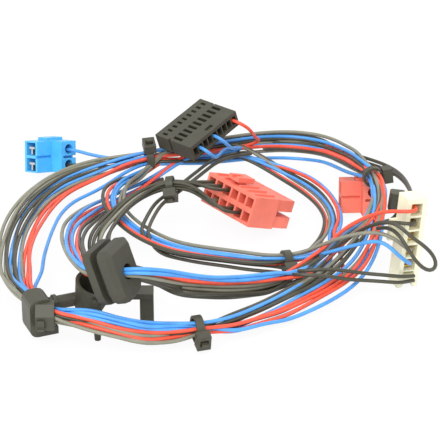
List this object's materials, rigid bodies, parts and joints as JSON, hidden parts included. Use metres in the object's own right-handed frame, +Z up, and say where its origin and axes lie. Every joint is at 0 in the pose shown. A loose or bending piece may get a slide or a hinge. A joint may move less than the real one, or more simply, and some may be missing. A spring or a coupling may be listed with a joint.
{
  "type": "wiring harness",
  "caption": "Loose wiring harness coiled in a loop: tied bundles of single wires with moulded connectors, a rubber grommet, a snap clip on a bracket and nylon ties.",
  "frame": {"origin": "middle of the footprint, on the surface that the harness lies on", "axes": "+X to the right and +Y away from the viewer, as the harness is seen from its front, +Z up"},
  "size_m": [0.1441, 0.1448, 0.035],
  "materials": {
    "sky_blue": "smooth moulded plastic",
    "signal_red": "smooth moulded plastic",
    "black_nylon": "fine matt moulding",
    "black_rubber": "matt moulded rubber",
    "ivory": "satin moulded plastic",
    "tin": "tinned sheet contact",
    "brass": "bare brass sheet contact",
    "wire_bundle": "soft plastic insulation, mixed colours",
    "wire_blue": "soft plastic insulation",
    "wire_red": "soft plastic insulation",
    "wire_black": "soft plastic insulation",
    "wire_grey": "soft plastic insulation"
  },
  "bodies": {
    "root": {"back_lead_lower": "wire_black", "back_lead_upper": "wire_black", "bracket": "black_nylon", "bundle_back": "wire_bundle", "bundle_branch_left": "wire_bundle", "bundle_branch_right": "wire_bundle", "bundle_clip": "wire_bundle", "bundle_fan": "wire_bundle", "bundle_front": "wire_bundle", "bundle_inner": "wire_bundle", "bundle_left": "wire_bundle", "bundle_right": "wire_bundle", "bundle_socket": "wire_bundle", "clip_housing": "black_nylon", "clip_pawl": "black_nylon", "five_way_contact_1": "brass", "five_way_contact_2": "brass", "five_way_contact_3": "brass", "five_way_contact_4": "brass", "five_way_contact_5": "brass", "five_way_housing": "ivory", "grommet": "black_rubber", "jumper_loop": "wire_black", "lead_five_way_1": "wire_red", "lead_five_way_2": "wire_black", "lead_five_way_4": "wire_grey", "lead_five_way_5": "wire_blue", "lead_five_way_foot_lower": "wire_black", "lead_five_way_foot_upper": "wire_black", "lead_nine_way_left": "wire_blue", "lead_nine_way_middle": "wire_blue", "lead_nine_way_right": "wire_red", "lead_two_way_blue_lower": "wire_black", "lead_two_way_blue_upper": "wire_blue", "lead_two_way_red_lower": "wire_grey", "lead_two_way_red_upper": "wire_blue", "nine_way_housing": "black_nylon", "splice_block": "black_nylon", "splice_lead": "wire_black", "tie_front": "black_nylon", "tie_inner": "black_nylon", "tie_socket": "black_nylon", "tie_upper_left": "black_nylon", "tie_upper_right": "black_nylon", "twelve_way_housing": "signal_red", "twelve_way_latch": "signal_red", "two_way_blue_contact_1": "tin", "two_way_blue_contact_2": "tin", "two_way_blue_housing": "sky_blue", "two_way_red_contact_1": "tin", "two_way_red_contact_2": "tin", "two_way_red_housing": "signal_red"}
  },
  "joints": []
}
